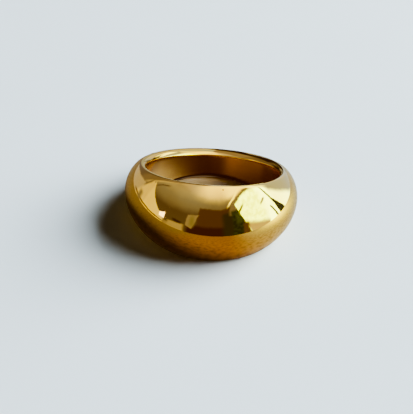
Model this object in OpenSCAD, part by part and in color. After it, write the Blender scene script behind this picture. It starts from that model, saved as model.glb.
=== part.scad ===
// A chunky dome ring in polished gold-coloured metal, cast as one piece.
// It lies on its side: the lower rim is on z = 0 and the dome faces -Y.
// The origin is where the axis of the finger hole meets the surface that the ring lies on.

/* [Finger hole] */
// Diameter of the finger hole
bore_d = 17.3; // [15:0.1:21]

/* [Dome and shank] */
// Width of the ring along the finger, at the front of the dome
front_w = 10.4; // [8:0.1:13]
// Width of the shank along the finger, at the back
back_w = 4.2; // [3.4:0.1:6]
// Thickness of the wall at the middle of the dome
front_t = 3.4; // [2.8:0.1:4.5]
// Thickness of the wall halfway between the front and each side
quarter_t = 2.85; // [2.4:0.05:3.5]
// Thickness of the wall at the two sides
side_t = 2.75; // [2.4:0.05:3.5]
// Thickness of the shank at the back
back_t = 2.5; // [2:0.1:3.5]

/* [Section of the wall] */
// How flat the section is across its middle: 2 is a parabola or ellipse, less is more peaked
crown = 2; // [1.6:0.05:2.4]
// How far the dome's crown sits below the middle of its width, as a share of half the width
crown_low = 0.1; // [0:0.02:0.2]
// How full the section's shoulders are at the front: 1 is a parabola, 2 an ellipse
front_shoulder = 1; // [0.9:0.05:2]
// How full the section's shoulders are at the back
back_shoulder = 1.4; // [1:0.05:3]

/* [Rim] */
// Width of the flat land on the crest of each rim
land_w = 0.3; // [0.2:0.05:0.4]
// Distance from the finger hole out to the middle of the land, at the front
front_crest = 0.4; // [0.35:0.05:0.8]
// Distance from the finger hole out to the middle of the land, at the back
back_crest = 0.9; // [0.5:0.05:1.1]
// How far the lip falls from the land to the edge of the finger hole, at the front
front_lip = 0.38; // [0.2:0.02:0.6]
// How far the lip falls at the back, where the rim is rounder
back_lip = 0.64; // [0.2:0.02:0.7]

/* [Hidden] */
round_steps = 96; // steps once round the finger
arch_steps = 20; // steps from rim to rim over the outside
lip_steps = 3; // steps down each lip
over = 0.12; // how far the lips run on inside the finger hole, to be cut off by it
bore_r = bore_d / 2;

// The crests of both rims are flat, and lean towards each other from the dome to the shank.
rim_slope = (front_w - back_w) / 2 / (2 * bore_r + front_crest + back_crest);
rim_mid = front_w / 2 - rim_slope * (bore_r + front_crest);
rest_tilt = atan(rim_slope);

// A value that is as given at the front (a = 0), the two sides (a = 90) and the back (a = 180)
function round_value(front, side, back, a) =
    (front + back + 2 * side) / 4 + (front - back) / 2 * cos(a) + (front + back - 2 * side) / 4 * cos(2 * a);

// The same, with the value halfway between front and side (a = 45) given as well
function wall_t(a) =
    let (swell = quarter_t - (front_t + back_t + 2 * side_t) / 4)
    (front_t + back_t + 2 * side_t) / 4 + (front_t + back_t - 2 * side_t) / 4 * cos(2 * a)
    + (front_t - back_t) / 4 * (cos(a) + cos(3 * a)) + swell * sqrt(0.5) * (cos(a) - cos(3 * a));
function crest(a) = round_value(front_crest, (front_crest + back_crest) / 2, back_crest, a);
function lip_h(a) = round_value(front_lip, (front_lip + back_lip) / 2, back_lip, a);
function shoulder(a) = round_value(front_shoulder, (front_shoulder + back_shoulder) / 2, back_shoulder, a);

// Height of the rim's plane over the middle of the ring, at radius r and angle a
function rim_z(r, a) = rim_mid + rim_slope * r * cos(a);

// The outside, from x = -1 at the lower rim to 1 at the upper rim, as [radius, height]
function arch_point(x, a) =
    let (edge = bore_r + crest(a) + land_w / 2,
         t = x + crown_low * (1 + cos(a)) / 2 * (1 - x * x))
    [edge + (bore_r + wall_t(a) - edge) * pow(max(0, 1 - pow(abs(t), crown)), 1 / shoulder(a)),
     x * rim_z(edge, a)];

// The lip, a parabola that falls from the land (q = 0) to the finger hole's edge (q = 1) and on
function lip_point(q, a) =
    let (inner = bore_r + crest(a) - land_w / 2)
    [inner - q * (inner - bore_r), rim_z(inner, a) - lip_h(a) * q * q];

// The whole section at angle a: the outside, the upper lip, and the lower lip as its mirror image
function section(a) =
    let (reach = crest(a) - land_w / 2, end = 1 + over / reach,
         upper = [for (i = [0:lip_steps])
             lip_point(i <= 1 ? i * 0.6 : 0.6 + (end - 0.6) * (i - 1) / (lip_steps - 1), a)])
    concat([for (i = [0:arch_steps]) arch_point(sin(-90 + 180 * i / arch_steps), a)],
           upper,
           [for (i = [lip_steps:-1:0]) [upper[i][0], -upper[i][1]]]);

// The sections in a closed round, joined by quadrilaterals cut into triangles
module body_blank() {
    count = len(section(0));
    points = [for (k = [0:round_steps - 1]) let (a = 360 * k / round_steps)
        for (p = section(a)) [p[0] * sin(a), -p[0] * cos(a), p[1]]];
    faces = [for (k = [0:round_steps - 1]) for (i = [0:count - 1])
        let (k2 = (k + 1) % round_steps, i2 = (i + 1) % count,
             p = k * count + i, q = k * count + i2, r = k2 * count + i2, s = k2 * count + i)
        each [[p, q, r], [p, r, s]]];
    polyhedron(points, faces);
}

// The one-piece ring, turned so that its lower rim lies flat
module dome_ring() {
    color([0.83, 0.66, 0.33])
    rotate([-rest_tilt, 0, 0])
    translate([0, 0, rim_mid])
    difference() {
        body_blank();
        cylinder(r = bore_r, h = 2 * front_w, center = true, $fn = 180);
    }
}

dome_ring();
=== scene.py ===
# A dome ring in polished gold, lying on a pale floor in soft studio light.
import math
import bpy
import numpy as np
from mathutils import Matrix


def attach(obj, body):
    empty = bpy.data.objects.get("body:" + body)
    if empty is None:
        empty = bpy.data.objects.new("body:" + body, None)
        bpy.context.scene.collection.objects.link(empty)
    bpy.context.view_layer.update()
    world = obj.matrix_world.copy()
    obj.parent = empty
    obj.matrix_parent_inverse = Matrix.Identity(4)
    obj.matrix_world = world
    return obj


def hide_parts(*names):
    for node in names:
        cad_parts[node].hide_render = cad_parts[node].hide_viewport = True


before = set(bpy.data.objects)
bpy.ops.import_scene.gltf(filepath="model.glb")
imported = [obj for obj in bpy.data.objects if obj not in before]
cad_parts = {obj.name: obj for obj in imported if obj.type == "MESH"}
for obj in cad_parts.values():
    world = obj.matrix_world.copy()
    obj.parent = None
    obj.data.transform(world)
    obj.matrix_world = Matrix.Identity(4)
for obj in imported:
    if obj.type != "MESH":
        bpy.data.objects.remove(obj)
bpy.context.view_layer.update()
print("frame loaded:", sorted(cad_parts))

camera = {
    "azimuth": -2.403,  # degrees round the ring; 0 looks along +Y
    "elevation": 36.116,
    "roll": 4.323,
    "distance": 0.12,
    "target": (-0.000571, -0.001152, 0.002389),
    "lens": 79.45,
    "sensor": 36,
    "nearest": 0.005,  # metres; nothing closer is drawn
    "view": "AgX",
    "contrast": "AgX - High Contrast",
}


# The axes of what looks at the ring from an azimuth and an elevation: to its right, up and back
def axes(azimuth, elevation):
    az, el = math.radians(azimuth), math.radians(elevation)
    back = np.array([math.sin(az) * math.cos(el), -math.cos(az) * math.cos(el), math.sin(el)])
    right = np.array([math.cos(az), math.sin(az), 0.0])
    return right, np.cross(back, right), back


def placing(right, up, back, at):
    place = np.eye(4)
    for column, values in enumerate((right, up, back, at)):
        place[:3, column] = values
    return Matrix(place.tolist())


# The camera stands at distance from the target, back along its line of sight,
# and is rolled about that line.
def addCamera(settings):
    right, up, back = axes(settings["azimuth"], settings["elevation"])
    roll = math.radians(settings["roll"])
    data = bpy.data.cameras.new("ringCamera")
    data.lens = settings["lens"]
    data.sensor_width = settings["sensor"]
    data.clip_start = settings["nearest"]
    item = bpy.data.objects.new("ringCamera", data)
    bpy.context.scene.collection.objects.link(item)
    item.matrix_world = placing(right * math.cos(roll) + up * math.sin(roll),
                                up * math.cos(roll) - right * math.sin(roll), back,
                                np.array(settings["target"]) + back * settings["distance"])
    bpy.context.scene.camera = item
    view = bpy.context.scene.view_settings
    view.view_transform = settings["view"]
    view.look = settings["contrast"]


addCamera(camera)
print("camera placed")


# A shader socket that takes Python arithmetic; an expression on it adds Math nodes.
class Signal:
    def __init__(self, tree, socket=None):
        self.tree = tree
        self.socket = socket

    # Any node: its type, its settings, which are set first, and the values or links of its sockets.
    def node(self, kind, settings=None, sockets=None, out=0):
        made = self.tree.nodes.new(kind)
        for name, value in (settings or {}).items():
            if name == "stops":
                ramp = made.color_ramp.elements
                while len(ramp) < len(value):
                    ramp.new(1.0)
                for stop, (place, shade) in zip(ramp, value):
                    stop.position = place
                    stop.color = (*shade, 1.0)
            else:
                setattr(made, name, value)
        for name, value in (sockets or {}).items():
            if isinstance(value, Signal):
                self.tree.links.new(value.socket, made.inputs[name])
            else:
                made.inputs[name].default_value = value
        return Signal(self.tree, made.outputs[out] if len(made.outputs) else None)

    def maths(self, operation, *others):
        return self.node("ShaderNodeMath", {"operation": operation}, dict(enumerate((self,) + others)))

    # the same with a plain number on the left
    def swapped(self, operation, other):
        return self.node("ShaderNodeMath", {"operation": operation}, {0: other, 1: self})

    def __add__(self, other):
        return self.maths("ADD", other)

    def __sub__(self, other):
        return self.maths("SUBTRACT", other)

    def __mul__(self, other):
        return self.maths("MULTIPLY", other)

    def __truediv__(self, other):
        return self.maths("DIVIDE", other)

    def __pow__(self, other):
        return self.maths("POWER", other)

    def __radd__(self, other):
        return self.swapped("ADD", other)

    def __rsub__(self, other):
        return self.swapped("SUBTRACT", other)

    def __rmul__(self, other):
        return self.swapped("MULTIPLY", other)

    # 0 below low, 1 above high, smooth between
    def rise(self, low, high):
        return self.node("ShaderNodeMapRange", {"interpolation_type": "SMOOTHSTEP"},
                         {"Value": self, "From Min": low, "From Max": high})

    # 1 from low to high, with soft ends
    def band(self, low, high, soft):
        return self.rise(low - soft, low + soft) * (1 - self.rise(high - soft, high + soft))

    # this colour where mask is 0, the other where it is 1
    def blend(self, other, mask):
        return self.node("ShaderNodeMix", {"data_type": "RGBA"}, {0: mask, 6: self, 7: other}, out=2)

    # the first colour where this mask is 0, the second where it is 1
    def between(self, first, second):
        return self.node("ShaderNodeMix", {"data_type": "RGBA"},
                         {0: self, 6: (*first, 1), 7: (*second, 1)}, out=2)

    # noise on this place
    def noise(self, scale=1.0, detail=2.0):
        return self.node("ShaderNodeTexNoise", None, {"Vector": self, "Scale": scale, "Detail": detail})

    # how far this place is from a point
    def distance(self, point):
        return self.node("ShaderNodeVectorMath", {"operation": "DISTANCE"}, {0: self, 1: point}, out=1)

    # this shader where mask is 0, the other where it is 1
    def mixed(self, other, mask):
        return self.node("ShaderNodeMixShader", None, {0: mask, 1: self, 2: other})


# An empty material and the start of its nodes
def newMaterial(name):
    made = bpy.data.materials.new(name)
    made.use_nodes = True
    made.node_tree.nodes.clear()
    return made, Signal(made.node_tree)


# The place on the object, in metres
def objectPlace(start):
    return start.node("ShaderNodeTexCoord", out=3)


# The first count of a place's x, y and z
def parts(place, count):
    return (place.node("ShaderNodeSeparateXYZ", None, {0: place}, out=k) for k in range(count))


def glowing(start, shade):
    return start.node("ShaderNodeEmission", None, {"Color": shade, "Strength": 1.0})


def showSurface(start, shader):
    start.node("ShaderNodeOutputMaterial", None, {"Surface": shader})


# Points on a grid become a mesh of quadrilaterals, closed round the columns, and round the rows if asked.
def gridMesh(name, points, closed=True):
    rows, columns = points.shape[:2]
    index = np.arange(rows * columns).reshape(rows, columns)
    if closed:
        index = np.concatenate([index, index[:1]], 0)
    index = np.concatenate([index, index[:, :1]], 1)
    quads = np.stack([index[:-1, :-1], index[1:, :-1], index[1:, 1:], index[:-1, 1:]], -1).reshape(-1, 4)
    mesh = bpy.data.meshes.new(name)
    mesh.vertices.add(rows * columns)
    mesh.vertices.foreach_set("co", points.astype(np.float32).reshape(-1))
    mesh.loops.add(quads.size)
    mesh.loops.foreach_set("vertex_index", quads.astype(np.int32).reshape(-1))
    mesh.polygons.add(len(quads))
    mesh.polygons.foreach_set("loop_start", np.arange(0, quads.size, 4, dtype=np.int32))
    mesh.polygons.foreach_set("use_smooth", np.ones(len(quads), bool))
    mesh.update(calc_edges=True)
    mesh.validate()
    return mesh


domeRing = {
    "boreDiameter": 17.3,  # millimetres, as in the part's source
    "frontWidth": 10.4,
    "backWidth": 4.2,
    "frontWall": 3.4,
    "quarterWall": 2.85,
    "sideWall": 2.75,
    "backWall": 2.5,
    "crown": 2.0,
    "crownLow": 0.1,
    "frontShoulder": 1.0,
    "backShoulder": 1.4,
    "land": 0.3,
    "frontCrest": 0.4,
    "backCrest": 0.9,
    "frontLip": 0.38,
    "backLip": 0.64,
    "roundSteps": 400,
    "archSteps": 112,
    "landSteps": 10,
    "lipSteps": 16,
    "boreSteps": 44,
    "evenness": 0.25,  # 1 spaces the steps evenly, 0 draws them close towards the rims
    "softening": 20,  # rounds of smoothing that round off the edges of the rims
    "waviness": 0.003,  # how far the hand polish leaves the outside from true
    "waves": ((5, 0.7, 0, 1), (3, -0.9, 2, 1), (9, 1.1, 1, 0.6)),  # each: number, lean, start, size
    "insideFade": 0.35,  # over which the finger hole's finish ends
    "rimSpread": 0.25,  # over which the rims are rubbed
}


# A value between the front and the back of the ring:
# their mean, plus half of front less back times cos(angle).
def eased(s, name, angle):
    front, back = s["front" + name], s["back" + name]
    return (front + back) / 2 + (front - back) / 2 * np.cos(angle)


# The rim planes lean towards each other at the back: half the fall in width, by the distance it falls over.
def ringSlope(s):
    return (s["frontWidth"] - s["backWidth"]) / 2 / (s["boreDiameter"] + s["frontCrest"] + s["backCrest"])


# The ring as a function of the angle round the finger and the place round the wall's section.
# Over the outside, with x from -1 at the lower rim to 1 at the upper rim, the radius is
# edge + (wall - edge) * (1 - |t| ** crown) ** (1 / shoulder), and the height is x times the rim's height.
# The land is straight, the lip falls as the square of the way in, and the finger hole is a cylinder.
def ringPoints(s):
    angle = np.linspace(0, 2 * np.pi, s["roundSteps"], endpoint=False)[:, None]
    bore = s["boreDiameter"] / 2
    slope = ringSlope(s)
    middle = s["frontWidth"] / 2 - slope * (bore + s["frontCrest"])
    crest, lip, shoulder = (eased(s, name, angle) for name in ("Crest", "Lip", "Shoulder"))
    mean = (s["frontWall"] + s["backWall"] + 2 * s["sideWall"]) / 4
    wall = (mean + (s["frontWall"] + s["backWall"] - 2 * s["sideWall"]) / 4 * np.cos(2 * angle)
            + (s["frontWall"] - s["backWall"]) / 4 * (np.cos(angle) + np.cos(3 * angle))
            + (s["quarterWall"] - mean) * math.sqrt(0.5) * (np.cos(angle) - np.cos(3 * angle)))
    edge, inner = bore + crest + s["land"] / 2, bore + crest - s["land"] / 2

    def rimHeight(radius):
        return middle + slope * radius * np.cos(angle)

    def share(count, first, last):
        return np.linspace(first, last, count)[None, :]

    even = share(s["archSteps"], -1, 1)
    x = s["evenness"] * even + (1 - s["evenness"]) * np.sin(np.pi * even / 2)
    t = x + s["crownLow"] * (1 + np.cos(angle)) / 2 * (1 - x ** 2)
    archRadius = edge + (bore + wall - edge) * np.maximum(0, 1 - np.abs(t) ** s["crown"]) ** (1 / shoulder)
    archHeight = x * rimHeight(edge)
    landRadius = edge + (inner - edge) * share(s["landSteps"], 1 / s["landSteps"], 1)
    landHeight = rimHeight(landRadius)
    fall = share(s["lipSteps"], 1 / s["lipSteps"], 1)
    lipRadius = inner - fall * (inner - bore)
    lipHeight = rimHeight(inner) - lip * fall ** 2
    down = share(s["boreSteps"] + 1, 0, 1)[:, 1:-1]
    down = s["evenness"] * down + (1 - s["evenness"]) / 2 * (1 - np.cos(np.pi * down))
    boreHeight = lipHeight[:, -1:] * (1 - 2 * down)
    radius = np.concatenate([archRadius, landRadius, lipRadius, bore + 0 * boreHeight,
                             lipRadius[:, ::-1], landRadius[:, ::-1]], 1)
    height = np.concatenate([archHeight, landHeight, lipHeight, boreHeight,
                             -lipHeight[:, ::-1], -landHeight[:, ::-1]], 1)
    section = np.stack([radius, height], -1)
    for _ in range(s["softening"]):
        section = (2 * section + np.roll(section, 1, axis=1) + np.roll(section, -1, axis=1)) / 4
    radius, height = section[..., 0], section[..., 1]
    # the waves are full from half way up the wall and end at the rims
    outside = np.clip((radius - edge) / (bore + wall - edge) * 2, 0, 1)
    wave = sum(size * np.sin(number * angle + lean * height + begin)
               for number, lean, begin, size in s["waves"])
    radius = radius + outside * s["waviness"] * wave / sum(each[3] for each in s["waves"])
    # the ring is turned back until its lower rim lies flat
    tilt = math.atan(slope)
    across, along, up = radius * np.sin(angle), -radius * np.cos(angle), height + middle
    along, up = along * math.cos(tilt) + up * math.sin(tilt), -along * math.sin(tilt) + up * math.cos(tilt)
    inside = 1 - np.clip((radius - bore) / s["insideFade"], 0, 1)
    rim = np.exp(-((radius - (edge + inner) / 2) / s["rimSpread"]) ** 2)
    return np.stack([across, along, up], -1) / 1000, inside, rim


# The gold: how each part of the ring is finished, and the small marks on it; lengths are in metres
goldFinish = {
    "gold": (0.92, 0.57, 0.16),
    "deepGold": (0.89, 0.52, 0.13),  # where the polish has left it a little redder
    "boreGold": (0.90, 0.53, 0.14),
    "rubbedGold": (0.93, 0.62, 0.22),  # along the rims
    "rubbedShare": 0.5,
    # painted shade: the dark brown given to the pits and the pore
    "paintedPitShade": (0.20, 0.08, 0.02),
    "polish": 0.03,
    "borePolish": 0.15,
    "cloud": (260.0, 3.0),  # noise scale and detail
    "cloudLimits": (0.35, 0.75),
    "grain": (3200.0, 2.0),
    "nickLimits": (0.52, 0.68),
    "hairlines": ((0.3, 0.5, 0.2), (1.2, 0.1, 2.1), (0.8, 1.4, 1.1), (2.2, 0.9, 0.4)),  # each set's turn
    "hairLength": 0.0016,
    "hairWidth": 0.00007,
    "hairLimits": (0.69, 0.77),
    "turningLength": 0.004,
    "turningLines": 0.00011,  # between the fine lines round the finger hole
    "pitScale": 750.0,
    "pitChoice": (0.965, 0.97),  # which of the cells have a pit
    "pitEdge": (0.03, 0.06),
    "porePlace": (0.00098, -0.00792, 0.00999),  # one casting pore that shows, high on the front of the dome
    "poreRadius": 0.00011,
    "marks": 0.0000007,  # how deep a mark with a relief of 1 is
    "dulling": {"cloud": 0.015, "hairlines": 0.08, "rims": 0.025, "nicks": 0.06, "turning": 0.05,
                "pits": 0.4},  # the roughness that each adds
    "relief": {"grain": 0.1, "turning": 1.2, "hairlines": -0.35, "nicks": -1.5, "pits": -12.0},
}


# Noise drawn out along one direction and cut off, so that only thin streaks stay
def streaks(place, turn, f):
    laid = place.node("ShaderNodeMapping", {"vector_type": "TEXTURE"}, {
        "Vector": place, "Rotation": turn, "Scale": (f["hairLength"], f["hairWidth"], f["hairWidth"])})
    return laid.noise(detail=1.0).rise(*f["hairLimits"])


# Tiny pits from the casting: a few of the cells of a Voronoi pattern, and the one that shows
def castingPits(place, f):
    cell = {"Vector": place, "Scale": f["pitScale"]}
    colour = place.node("ShaderNodeTexVoronoi", None, cell, out=1)
    choice = place.node("ShaderNodeSeparateColor", None, {0: colour})
    middle = place.node("ShaderNodeTexVoronoi", None, cell)
    pits = choice.rise(*f["pitChoice"]) * (1 - middle.rise(*f["pitEdge"]))
    away = place.distance(f["porePlace"])
    return pits.maths("MAXIMUM", 1 - away.rise(f["poreRadius"] / 2, f["poreRadius"]))


def goldMaterial(f, tilt):
    material, start = newMaterial("polishedGold")
    place = objectPlace(start)
    inside, rim = (start.node("ShaderNodeAttribute", {"attribute_name": name}, out=2)
                   for name in ("inside", "rim"))
    cloud = place.noise(*f["cloud"])
    grain = place.noise(*f["grain"])
    scratch = None
    for turn in f["hairlines"]:
        lines = streaks(place, turn, f)
        scratch = lines if scratch is None else scratch.maths("MAXIMUM", lines)
    nicks = rim * grain.rise(*f["nickLimits"])
    # the finger hole was turned, so its lines run round the finger's axis
    laid = start.node("ShaderNodeMapping", {"vector_type": "TEXTURE"}, {
        "Vector": place, "Rotation": (-tilt, 0, 0),
        "Scale": (f["turningLength"], f["turningLength"], f["turningLines"])})
    marks = {"cloud": cloud, "grain": grain, "hairlines": scratch, "rims": rim, "nicks": nicks,
             "turning": inside * laid.noise(), "pits": castingPits(place, f)}
    tone = cloud.rise(*f["cloudLimits"]).between(f["gold"], f["deepGold"])
    tone = tone.blend((*f["boreGold"], 1), inside)
    tone = tone.blend((*f["rubbedGold"], 1), (rim + nicks) * f["rubbedShare"])
    # painted shade: the pits and the pore are coloured dark brown
    tone = tone.blend((*f["paintedPitShade"], 1), marks["pits"])
    roughness = inside * (f["borePolish"] - f["polish"]) + f["polish"]
    for name, share in f["dulling"].items():
        roughness = roughness + marks[name] * share
    height = sum(marks[name] * share for name, share in f["relief"].items())
    bump = start.node("ShaderNodeBump", None, {"Height": height, "Distance": f["marks"], "Strength": 1.0})
    showSurface(start, start.node("ShaderNodeBsdfPrincipled", None, {
        "Base Color": tone, "Metallic": 1.0, "Roughness": roughness, "Normal": bump}))
    return material


points, inside, rim = ringPoints(domeRing)
mesh = gridMesh("domeRing", points)
for name, values in (("inside", inside), ("rim", rim)):
    attribute = mesh.attributes.new(name, "FLOAT", "POINT")
    attribute.data.foreach_set("value", values.astype(np.float32).reshape(-1))
ring = bpy.data.objects.new("domeRing", mesh)
bpy.context.scene.collection.objects.link(ring)
ring.data.materials.append(goldMaterial(goldFinish, math.atan(ringSlope(domeRing))))
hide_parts("dome_ring")
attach(ring, "root")
print("ring made:", len(mesh.polygons), "faces")


studio = {
    "floorSize": 4.0,  # metres
    "floorShade": (0.80, 0.81, 0.80),
    "floorGrain": (60.0, 5.0),  # noise scale and detail
    "floorDepth": 0.97,  # how dark the darkest of the grain is
    "holeMiddle": (0.0, 0.00025, 0.0),  # of the finger hole's edge on the floor
    "holeRadius": 0.00935,
    "paintedGlowLeft": (0.47, 0.33, 0.18),  # painted light: the floor in the finger hole, warm in the gold's own light
    # painted light, less warm, at the right of the hole
    "paintedGlowRight": (0.47, 0.38, 0.34),
    "glowTurn": (-0.001, 0.004),  # where the left one passes into the right one
    "paintedGlowBack": (0.80, 0.58, 0.36),  # and close under the back of the ring: painted, brighter light
    "glowBackFrom": (0.0077, 0.0091),
    "paintedLipGlow": (0.21, 0.22, 0.27),  # painted reflection: the same floor as the hole's lower lip mirrors it
    # painted shade where the lower lip mirrors the floor outside that band
    "paintedLipShade": (0.055, 0.03, 0.04),
    "lipBand": (-0.0042, 0.0006, 0.0012),  # from, to, softness
    "clearRadius": 0.0091,  # the mat is open here, for the light in the finger hole
    "clearSoft": 0.0005,
    "matReach": 0.12,
    "matHeight": 0.00001,
    # the mat's colours are painted: shade and warm light in front, shade at the left, paler light at the
    # right
    "matFrontShade": (0.285, 0.176, 0.12),
    "matRightLight": (0.45, 0.44, 0.37),
    "matRightFrom": (-0.005, 0.012),
    "matLean": 0.5,  # how the right part's edge turns with y
    "matLeftShade": (0.23, 0.19, 0.13),
    "matLeftFrom": (0.004, 0.018),
    "matGlow": (0.035, 0.022, 0.003),  # painted light, which keeps the mirrored shadow from going black
    "farGlow": (2.0, 2.5, 0.5),  # painted light: the mat glows beyond the ring's right side, under the softbox
    "farFrom": (0.014, 0.034),
    "farBand": (-0.011, 0.005, 0.013),
    "matGrain": (1100.0, 4.0),
    "matGrainLimits": (0.35, 0.8),
    "matGrainDepth": 0.45,
    "tentRadius": 0.039,
    "backdropRadius": 1.9,
    "backdropShade": (0.50, 0.53, 0.55),
    "skyShade": (1.0, 0.92, 0.70),
    "skyStrength": 0.037,
}

# Small cards close behind the ring, seen only in the gold: from and to are their ends over the floor, in
# metres
# the dark ones paint shade into the gold's reflections, and paleFlag glows as a painted highlight
nearCards = {
    "lowFlag": {"from": (-0.0008, 0.0122), "to": (0.0052, 0.0122), "soft": (0.0016, 0.001),
                "low": 0.0025, "high": 0.0088, "light": (0.05, 0.025, 0.01)},
    "darkFlag": {"from": (0.0027, 0.0134), "to": (0.0052, 0.0134), "soft": (0.001, 0.001), "low": 0.005,
                 "high": 0.0130, "light": (0.05, 0.025, 0.01)},
    "edgeFlag": {"from": (0.0046, 0.0134), "to": (0.0100, 0.0134), "soft": (0.001, 0.001), "low": 0.0055,
                 "high": 0.0130, "light": (0.05, 0.025, 0.01)},
    "backFlag": {"from": (-0.004, 0.0186), "to": (0.012, 0.0186), "soft": (0.004, 0.003), "low": -0.001,
                 "high": 0.0055, "light": (0.11, 0.10, 0.07)},
    "sideFlag": {"from": (0.0078, 0.0194), "to": (0.0104, 0.0194), "soft": (0.001, 0.001), "low": 0.004,
                 "high": 0.0125, "light": (0.10, 0.10, 0.10)},
    "paleFlag": {"from": (0.0075, 0.0105), "to": (0.0075, 0.0185), "soft": (0.001, 0.001), "low": 0.0075,
                 "high": 0.019, "light": (2.7, 3.6, 2.3)},
}

lamps = {  # azimuth (0 in front, 90 at the right), elevation, distance, width, height, power, shade
    "keyLight": (104, 34, 1.2, 1.3, 1.0, 48.0, (0.82, 0.97, 1.08)),
}


def addStage(name, mesh, material):
    item = bpy.data.objects.new(name, mesh)
    bpy.context.scene.collection.objects.link(item)
    item.data.materials.append(material)
    return item


# What only the polished gold sees
def mirroredOnly(item):
    item.visible_camera = False
    item.visible_diffuse = False
    item.visible_shadow = False
    item.visible_transmission = False
    item.visible_volume_scatter = False
    return item


def squareMesh(name, half, height):
    mesh = bpy.data.meshes.new(name)
    corners = [(-half, -half, height), (half, -half, height), (half, half, height), (-half, half, height)]
    mesh.from_pydata(corners, [], [(0, 1, 2, 3)])
    return mesh


# 1 on the floor within a radius of the middle of the finger hole
def insideHole(place, s, radius, soft=0.0002):
    return 1 - place.distance(s["holeMiddle"]).rise(radius - soft, radius)


def floorMaterial(s):
    material, start = newMaterial("paleFloor")
    place = objectPlace(start)
    grain = place.noise(*s["floorGrain"])
    shade = grain.between(s["floorShade"], tuple(v * s["floorDepth"] for v in s["floorShade"]))
    x, y = parts(place, 2)
    # inside the finger hole the floor is painted with the gold's light: warm at the left, less warm at the
    # right, brighter under the back
    glow = x.rise(*s["glowTurn"]).between(s["paintedGlowLeft"], s["paintedGlowRight"])
    glow = glow.blend((*s["paintedGlowBack"], 1), y.rise(*s["glowBackFrom"]))
    shade = shade.blend(glow, insideHole(place, s, s["holeRadius"]))
    showSurface(start, start.node("ShaderNodeBsdfDiffuse", None, {"Color": shade}))
    return material


# The floor as the gold mirrors it, painted: shade and the gold's warm light in front, shade at the left,
# paler at the right
def matMaterial(s):
    material, start = newMaterial("warmMat")
    place = objectPlace(start)
    x, y = parts(place, 2)
    shade = (x + y * s["matLean"]).rise(*s["matRightFrom"]).between(s["matFrontShade"], s["matRightLight"])
    shade = shade.blend((*s["matLeftShade"], 1), (x * -1.0).rise(*s["matLeftFrom"]))
    grain = place.noise(*s["matGrain"]).rise(*s["matGrainLimits"])
    shade = shade.blend((0.0, 0.0, 0.0, 1), grain * s["matGrainDepth"])
    # painted glow on the mat beyond the ring's right side, and a faint painted glow elsewhere
    far = x.rise(*s["farFrom"]) * y.band(*s["farBand"])
    shader = start.node("ShaderNodeAddShader", None, {
        0: start.node("ShaderNodeBsdfDiffuse", None, {"Color": shade}),
        1: glowing(start, far.between(s["matGlow"], s["farGlow"]))})
    # at the finger hole's edge the mat glows with the lower lip's painted reflection, dark outside its band
    lip = glowing(start, x.band(*s["lipBand"]).between(s["paintedLipShade"], s["paintedLipGlow"]))
    shader = shader.mixed(lip, insideHole(place, s, s["holeRadius"]))
    clear = start.node("ShaderNodeBsdfTransparent")
    showSurface(start, shader.mixed(clear, insideHole(place, s, s["clearRadius"], s["clearSoft"])))
    return material


# A sphere as a function of azimuth and elevation
def tentPoints(radius, columns=96, rows=80, reach=89.5):
    azimuth = np.linspace(0, 2 * np.pi, columns, endpoint=False)[None, :]
    elevation = np.linspace(-reach, reach, rows)[:, None] * np.pi / 180
    return radius * np.stack([np.sin(azimuth) * np.cos(elevation), -np.cos(azimuth) * np.cos(elevation),
                              np.sin(elevation) + 0 * azimuth], -1)


# The tent's cloth, which is paler upwards, and how its cards hang and are spotted
tentCloth = {
    "shades": [(0.00, (0.16, 0.158, 0.16)), (0.42, (0.147, 0.133, 0.14)), (0.51, (0.26, 0.29, 0.36)),
               (0.58, (0.30, 0.35, 0.47)), (0.66, (0.45, 0.52, 0.63)), (1.00, (0.65, 0.72, 0.80))],
    "leftLift": 0.2,  # how much further down the pale part comes at the left
    # no card hangs quite straight: each noise's scale for azimuth and elevation, and its reach in degrees
    "wavers": ((90.0, 117.0, 3.0), (420.0, 546.0, 1.2)),
    "spots": (300.0, 3.0),
    "spotLimits": (0.4, 0.62),
}

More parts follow.
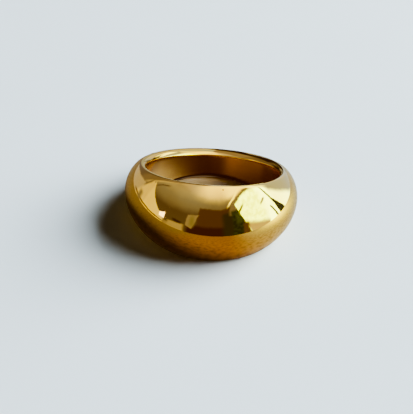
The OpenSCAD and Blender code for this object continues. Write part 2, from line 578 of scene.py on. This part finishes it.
# The tent's cards, laid one over the other. Each edge is (place, lean, bend), in degrees: the left and right
# edges stand at azimuth place + lean * elevation + bend * elevation squared, and the bottom and top edges at
# elevation place + lean * azimuth + bend * azimuth squared. An edge that isn't given doesn't end the card.
# A card with an other light is spotted with it.
cards = {
    "oliveSide": dict(left=(-130,), right=(-96,), bottom=(14,), soft=(5, 4), light=(0.22, 0.23, 0.26)),
    "upperSide": dict(left=(-200,), right=(-66,), bottom=(43.7, -0.712, -0.0089), soft=(10, 5),
                      light=(0.25, 0.25, 0.29)),
    "upperTop": dict(left=(-200,), right=(-60,), bottom=(50,), soft=(12, 6), light=(0.33, 0.34, 0.42)),
    "upperBack": dict(left=(-200,), right=(-118,), bottom=(-9,), top=(44,), soft=(6, 8),
                      light=(0.19, 0.19, 0.23)),
    "topLeft": dict(left=(-66,), right=(40,), bottom=(54,), soft=(9, 3), light=(0.62, 0.68, 0.78)),
    "topMiddle": dict(left=(-24,), right=(90,), bottom=(54,), soft=(19, 8), light=(1.7, 1.8, 0.95)),
    "topRight": dict(left=(24,), right=(92,), bottom=(51.5,), soft=(12, 2.5), light=(2.1, 2.35, 1.0)),
    "leftEdge": dict(left=(-105,), right=(-46,), bottom=(41.7, -0.712, -0.0089),
                     top=(44.7, -0.712, -0.0089), soft=(6, 1.5), light=(0.58, 0.62, 0.58)),
    "leftEdgeShade": dict(left=(-91,), right=(-73,), bottom=(36.4, -0.712, -0.0089),
                          top=(38.0, -0.712, -0.0089), soft=(3, 0.9), light=(0.17, 0.16, 0.17)),
    "farEnd": dict(left=(-18.5,), right=(40,), top=(43,), soft=(1.2, 1.2), light=(0.14, 0.09, 0.045)),
    "farFoot": dict(left=(-30,), right=(24,), top=(18,), soft=(3, 4), light=(0.087, 0.035, 0.025)),
    "farSide": dict(left=(14,), right=(40,), top=(36, 0.12), soft=(4, 3), light=(0.07, 0.07, 0.04)),
    "archShade": dict(left=(24,), right=(73,), bottom=(34,), top=(17.8, 1.272, -0.012), soft=(3, 1),
                      light=(0.27, 0.29, 0.36)),
    "archLine": dict(left=(24,), right=(47,), bottom=(26.4, 0.934, -0.008), top=(28.2, 0.934, -0.008),
                     soft=(4, 0.7), light=(2.2, 2.6, 0.9)),
    "greenCard": dict(left=(26,), right=(41.5, -0.1), top=(39,), soft=(2, 2), light=(0.05, 0.065, 0.025),
                      other=(0.075, 0.11, 0.05)),
    "paleGreen": dict(left=(31,), right=(39,), bottom=(22,), top=(36,), soft=(2, 4),
                      light=(0.10, 0.16, 0.09)),
    "rightSide": dict(left=(86,), right=(200,), soft=(3, 3), light=(0.56, 0.75, 1.05)),
    "rightBack": dict(left=(132,), right=(200,), bottom=(12,), top=(50,), soft=(8, 4),
                      light=(0.70, 0.80, 0.85)),
    "backFoot": dict(left=(150,), right=(200,), top=(5,), soft=(8, 3), light=(0.30, 0.37, 0.42)),
    "rightTop": dict(left=(86,), right=(135,), bottom=(53,), soft=(4, 1.5), light=(1.1, 1.35, 1.0)),
    "rightLine": dict(left=(98,), right=(130,), bottom=(51,), top=(52.8,), soft=(8, 0.9),
                      light=(0.45, 0.5, 0.65)),
    "softSheet": dict(left=(76,), right=(118.5, -0.96), top=(60,), soft=(4, 4), light=(2.9, 4.5, 3.2)),
    "softSheetTop": dict(left=(66,), right=(89,), bottom=(36,), top=(58,), soft=(6, 5),
                         light=(2.6, 3.6, 1.9)),
    "softbox": dict(left=(48.9, -0.33), right=(86,), top=(15.3, 1.272, -0.012), soft=(0.5, 1),
                    light=(2.3, 4.0, 1.1), other=(2.9, 5.2, 2.2)),
    "softboxRight": dict(left=(72,), right=(86,), top=(15.3, 1.272, -0.012), soft=(6, 2),
                         light=(3.4, 6.0, 4.6)),
    "thinStrip": dict(left=(36,), right=(45,), bottom=(12.4, 0.6), top=(15.4, 0.6), soft=(1.5, 0.8),
                      light=(0.3, 0.4, 0.15)),
    "paleLedge": dict(left=(48.9, -0.33), right=(74,), top=(42, -0.5), soft=(1.5, 5),
                      light=(0.72, 0.78, 0.66)),
    "ledgeShade": dict(left=(39,), right=(46,), top=(19,), soft=(2, 3), light=(0.17, 0.13, 0.11)),
    "softboxBar": dict(left=(68,), right=(76,), bottom=(20.0, 0.13), top=(22.2, 0.13), soft=(1.5, 0.7),
                       light=(0.5, 0.65, 0.6)),
    "darkBar": dict(left=(91.4, -0.33), right=(93.7, -0.33), top=(41,), soft=(0.5, 3),
                    light=(0.10, 0.13, 0.15)),
    "darkBarFoot": dict(left=(90.2, -0.29), right=(99.5, -0.59), top=(24,), soft=(0.4, 1),
                        light=(0.085, 0.11, 0.13)),
    "thinBar": dict(left=(85.6, -0.4), right=(87.7, -0.4), top=(19,), soft=(0.4, 1),
                    light=(0.14, 0.17, 0.19)),
    "backDark": dict(left=(-200,), right=(-143,), bottom=(24,), top=(57,), soft=(5, 4),
                     light=(0.06, 0.035, 0.012)),
    "leftBack": dict(left=(-200,), right=(-160,), top=(20,), soft=(5, 4), light=(0.42, 0.48, 0.42)),
    "leftBand": dict(left=(-150,), right=(-101,), top=(57.5, 0.38), soft=(4, 1), light=(0.52, 0.56, 0.58)),
    "panel": dict(left=(-93,), right=(-60,), top=(-32.2, -0.68), soft=(1.5, 0.8), light=(0.97, 1.05, 0.68)),
    "panelCorner": dict(left=(-109.2, 0.43), right=(-90,), top=(28.4,), soft=(2.2, 1),
                        light=(0.80, 0.83, 0.58)),
    "panelGap": dict(left=(-111.6, 0.43), right=(-109.6, 0.43), bottom=(16,), top=(28,), soft=(0.7, 3),
                     light=(0.25, 0.26, 0.30)),
    "panelLine": dict(left=(-112,), right=(-60,), bottom=(1.5,), top=(3.6,), soft=(3, 0.7),
                      light=(0.16, 0.11, 0.10)),
    "panelFoot": dict(left=(-103,), right=(-97,), top=(11,), soft=(3, 2), light=(0.27, 0.28, 0.30)),
    "lowBand": dict(left=(-60,), right=(-34,), top=(6,), soft=(3, 2), light=(0.36, 0.36, 0.36)),
    "lowStreak": dict(left=(-54,), right=(-34,), bottom=(-9,), top=(21, 0.2), soft=(2, 1.5),
                      light=(0.46, 0.48, 0.44)),
    "darkSpot": dict(left=(-48,), right=(-38,), bottom=(13.5,), top=(17.5,), soft=(2.5, 1.2),
                     light=(0.08, 0.05, 0.03)),
    "smallCard": dict(left=(-32,), right=(-27, 0.27), bottom=(-4.3, -0.57), top=(38.7, 0.25),
                      soft=(1, 1), light=(0.34, 0.36, 0.40)),
    "smallCardShade": dict(left=(-28,), right=(-22,), bottom=(14,), top=(31,), soft=(2.5, 5),
                           light=(0.27, 0.30, 0.25)),
    "strip": dict(left=(-66,), right=(-59.3,), bottom=(8.5,), top=(61, 0.72), soft=(0.5, 0.5),
                  light=(3.3, 3.5, 4.0)),
    # Below the horizon the cards show only through the mat's open disc: a painted reflection of the floor in
    # the bore, with painted shade in the dark ones
    "undersideShade": dict(top=(-9,), soft=(1, 1.5), light=(0.10, 0.045, 0.035)),
    "boreTan": dict(left=(69,), top=(-14.5, -0.092), soft=(45, 3), light=(0.58, 0.66, 0.85)),
    "boreAmber": dict(left=(-108,), right=(-23,), bottom=(-14.0, 0.09), top=(-9,), soft=(14, 0.9),
                      light=(0.265, 0.18, 0.145)),
    "boreGlow": dict(left=(-56,), right=(-27,), bottom=(-13.2, 0.06), top=(-9,), soft=(6, 0.9),
                     light=(0.42, 0.265, 0.155)),
    "boreShade": dict(left=(-160,), right=(20,), top=(-18.0, 0.08), soft=(14, 1.5),
                      light=(0.06, 0.02, 0.02)),
    "deepShade": dict(top=(-45,), soft=(1, 8), light=(0.05, 0.02, 0.015)),
}


# The tent's light by azimuth and elevation: the cloth, and the cards before it
def tentMaterial(cloth, laid):
    material, start = newMaterial("lightTent")
    place = objectPlace(start)
    x, y, z = parts(place, 3)
    az = x.maths("ARCTAN2", y * -1.0) * (180 / math.pi)
    el = z.maths("ARCTAN2", (x * x + y * y) ** 0.5) * (180 / math.pi)
    for across, upwards, reach in cloth["wavers"]:
        az = az + (place.noise(across) - 0.5) * reach
        el = el + (place.noise(upwards) - 0.5) * reach
    spots = place.noise(*cloth["spots"]).rise(*cloth["spotLimits"])
    lifted = el - az.maths("MINIMUM", 0.0) * cloth["leftLift"]
    glow = start.node("ShaderNodeValToRGB", {"stops": cloth["shades"]}, {0: lifted / 90})
    for card in laid.values():
        mask = None
        for edge, along, across, k in (("left", az, el, 0), ("right", az, el, 0),
                                       ("bottom", el, az, 1), ("top", el, az, 1)):
            if edge not in card:
                continue
            at, lean, bend = (card[edge] + (0, 0))[:3]
            if bend:
                along = along - across * (across * bend + lean)
            elif lean:
                along = along - across * lean
            within = along.rise(at - card["soft"][k], at + card["soft"][k])
            if edge in ("right", "top"):
                within = 1 - within
            mask = within if mask is None else mask * within
        shade = (*card["light"], 1)
        if "other" in card:
            shade = spots.between(card["light"], card["other"])
        glow = glow.blend(shade, mask)
    showSurface(start, glowing(start, glow))
    return material


# A near card is clear beyond soft edges: along it, measured from its first end, and at its foot and its head
def nearMaterial(name, f, foot=0.001, head=0.004):
    material, start = newMaterial(name)
    place = objectPlace(start)
    run = np.array(f["to"]) - np.array(f["from"])
    length = float(np.hypot(*run))
    x, y, z = parts(place, 3)
    along = (x - f["from"][0]) * (float(run[0]) / length) + (y - f["from"][1]) * (float(run[1]) / length)
    mask = along.rise(0, f["soft"][0]) * (1 - along.rise(length - f["soft"][1], length))
    mask = mask * z.rise(f["low"], f["low"] + foot) * (1 - z.rise(f["high"] - head, f["high"]))
    clear = start.node("ShaderNodeBsdfTransparent")
    showSurface(start, clear.mixed(glowing(start, (*f["light"], 1)), mask))
    return material


def nearMesh(name, f):
    mesh = bpy.data.meshes.new(name)
    corners = [(*f[end], f[height]) for height, ends in (("low", ("from", "to")), ("high", ("to", "from")))
               for end in ends]
    mesh.from_pydata(corners, [], [(0, 1, 2, 3)])
    return mesh


def addLamp(name, azimuth, elevation, distance, width, height, power, shade):
    right, up, back = axes(azimuth, elevation)
    data = bpy.data.lights.new(name, "AREA")
    data.shape = "RECTANGLE"
    data.size, data.size_y = width, height
    data.energy = power
    data.color = shade
    item = bpy.data.objects.new(name, data)
    bpy.context.scene.collection.objects.link(item)
    item.matrix_world = placing(right, up, back, back * distance)
    item.visible_glossy = False
    item.visible_camera = False


# A plain pale backdrop all round, far behind the floor
def backdropMaterial(s):
    material, start = newMaterial("paleBackdrop")
    showSurface(start, glowing(start, (*s["backdropShade"], 1)))
    return material


def addSky(s):
    world = bpy.data.worlds.new("softSky")
    bpy.context.scene.world = world
    world.use_nodes = True
    shade = world.node_tree.nodes["Background"]
    shade.inputs[0].default_value = (*s["skyShade"], 1)
    shade.inputs[1].default_value = s["skyStrength"]


floor = addStage("floor", squareMesh("floor", studio["floorSize"] / 2, 0.0), floorMaterial(studio))
floor.visible_glossy = False
matMesh = squareMesh("mat", studio["matReach"], studio["matHeight"])
mirroredOnly(addStage("mat", matMesh, matMaterial(studio)))
tentMesh = gridMesh("tent", tentPoints(studio["tentRadius"]), closed=False)
mirroredOnly(addStage("tent", tentMesh, tentMaterial(tentCloth, cards)))
for name, card in nearCards.items():
    mirroredOnly(addStage(name, nearMesh(name, card), nearMaterial(name, card)))
backdropMesh = gridMesh("backdrop", tentPoints(studio["backdropRadius"]), closed=False)
backdrop = mirroredOnly(addStage("backdrop", backdropMesh, backdropMaterial(studio)))
backdrop.visible_camera = True
backdrop.visible_glossy = False
for name, lamp in lamps.items():
    addLamp(name, *lamp)
addSky(studio)
print("stage made:", len(cards), "cards")
